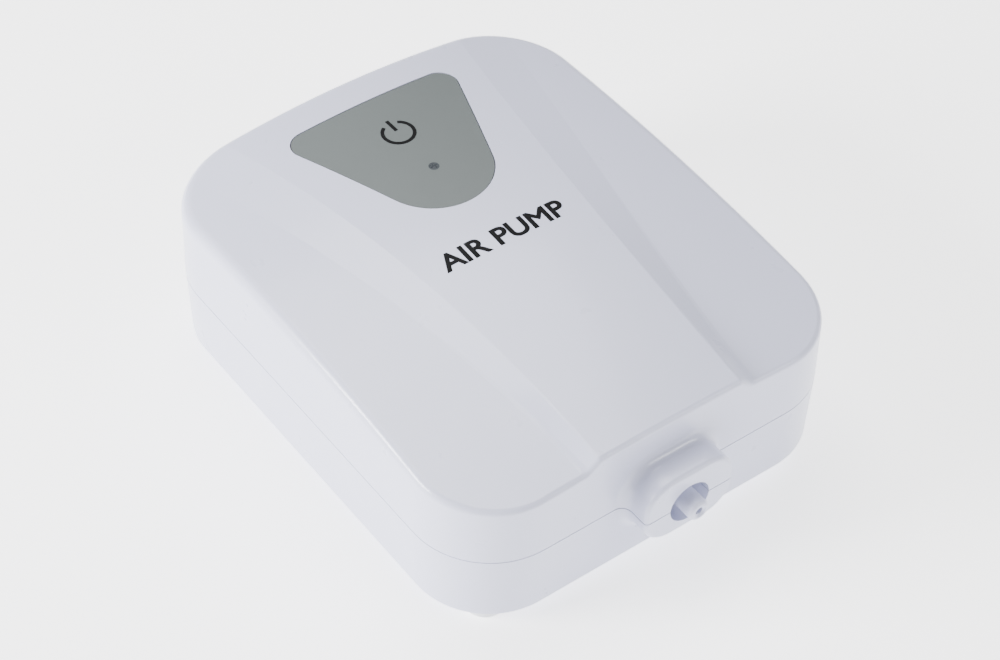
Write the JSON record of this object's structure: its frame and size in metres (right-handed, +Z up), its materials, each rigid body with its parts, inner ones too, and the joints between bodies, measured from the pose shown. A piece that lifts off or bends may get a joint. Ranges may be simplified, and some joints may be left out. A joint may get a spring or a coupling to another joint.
{
  "type": "aquarium air pump",
  "caption": "Battery aquarium air pump: a white wedge case with a power pad on top and a small air nozzle in front.",
  "frame": {"origin": "bottom centre of the whole pump, on the plane its feet stand on", "axes": "+Z up, +Y to the back of the case, away from the air nozzle, +X to the right seen from the nozzle side"},
  "size_m": [0.104, 0.1338, 0.0471],
  "materials": {
    "case_white": "satin moulded ABS, warm-neutral white",
    "pad_grey": "matt grey-green key pad",
    "lens_dark": "smoked clear light window",
    "stem_black": "black switch stem",
    "seal_white": "off-white foamed seal cord",
    "foot_white": "off-white soft rubber",
    "nozzle_white": "white moulded nozzle",
    "silicone": "milky silicone",
    "rubber_black": "black rubber",
    "steel": "bright zinc-plated steel",
    "spring_steel": "nickel-plated spring steel",
    "brass": "sintered brass",
    "copper": "enamelled copper wire",
    "magnet": "ferrite",
    "board_green": "green solder mask",
    "chip_black": "black epoxy",
    "connector_ivory": "ivory nylon",
    "led_body": "clear green lamp",
    "tray_black": "black ABS",
    "cell_jacket": "printed film jacket",
    "lead_red": "red PVC",
    "lead_black": "black PVC",
    "pump_plastic": "natural acetal",
    "pump_dark": "dark grey nylon",
    "felt": "felt"
  },
  "bodies": {
    "case": {"top_cover": "case_white", "base_shell": "case_white", "case_seal": "seal_white", "case_screws": "steel", "rubber_feet": "foot_white", "tact_switch": "steel", "circuit_board": "board_green", "status_led": "led_body", "controller_chip": "chip_black", "board_components": "chip_black", "board_connectors": "connector_ivory", "board_screws": "steel", "battery_tray": "tray_black", "tray_screws": "steel", "battery_cell_left": "cell_jacket", "battery_cell_right": "cell_jacket", "contact_bridge": "spring_steel", "contact_plate_positive": "spring_steel", "contact_plate_negative": "spring_steel", "contact_spring_front": "spring_steel", "contact_spring_rear": "spring_steel", "battery_lead_positive": "lead_red", "battery_lead_negative": "lead_black", "motor_lead_positive": "lead_red", "motor_lead_negative": "lead_black", "motor_can": "steel", "motor_end_cap": "pump_dark", "motor_magnets": "magnet", "motor_front_bush": "brass", "motor_rear_bush": "brass", "motor_brushes": "copper", "pump_housing": "pump_dark", "motor_screws": "steel", "diaphragm": "rubber_black", "seat_plate": "pump_plastic", "inlet_valves": "silicone", "outlet_valve": "silicone", "pump_head_cap": "pump_dark", "pump_head_screws": "steel", "outlet_nozzle": "nozzle_white", "outlet_sleeve": "silicone", "pump_cushion_front": "rubber_black", "pump_cushion_rear": "rubber_black", "pump_strap": "steel", "strap_screws": "steel", "intake_filter": "felt"},
    "power_key": {"power_pad": "pad_grey", "led_window": "lens_dark", "switch_stem": "stem_black"},
    "rotor": {"motor_shaft": "steel", "armature_core": "steel", "armature_windings": "copper", "commutator": "copper", "eccentric_hub": "pump_plastic", "crank_pin": "steel"},
    "wobble": {"wobble_plate": "pump_plastic"},
    "door": {"battery_door": "case_white"}
  },
  "joints": [
    {"name": "power_key_press", "type": "slide", "parent": "case", "child": "power_key", "axis": [0, 0, -1], "range_m": [0, 0.0004], "stiffness_N_per_m": 4000},
    {"name": "rotor_spin", "type": "hinge", "parent": "case", "child": "rotor", "pos_m": [0, -0.0235, 0.0212], "axis": [0, -1, 0], "continuous": true, "deforming": ["diaphragm"]},
    {"name": "wobble_turn", "type": "hinge", "parent": "rotor", "child": "wobble", "pos_m": [0, -0.0325, 0.0212], "axis": [0, -0.9945, -0.1045], "continuous": true},
    {"name": "battery_door_slide", "type": "slide", "parent": "case", "child": "door", "axis": [0, 1, 0], "range_m": [0, 0.07]}
  ],
  "couplings": [
    {"joint": "wobble_turn", "follows": "rotor_spin", "ratio": -1}
  ]
}
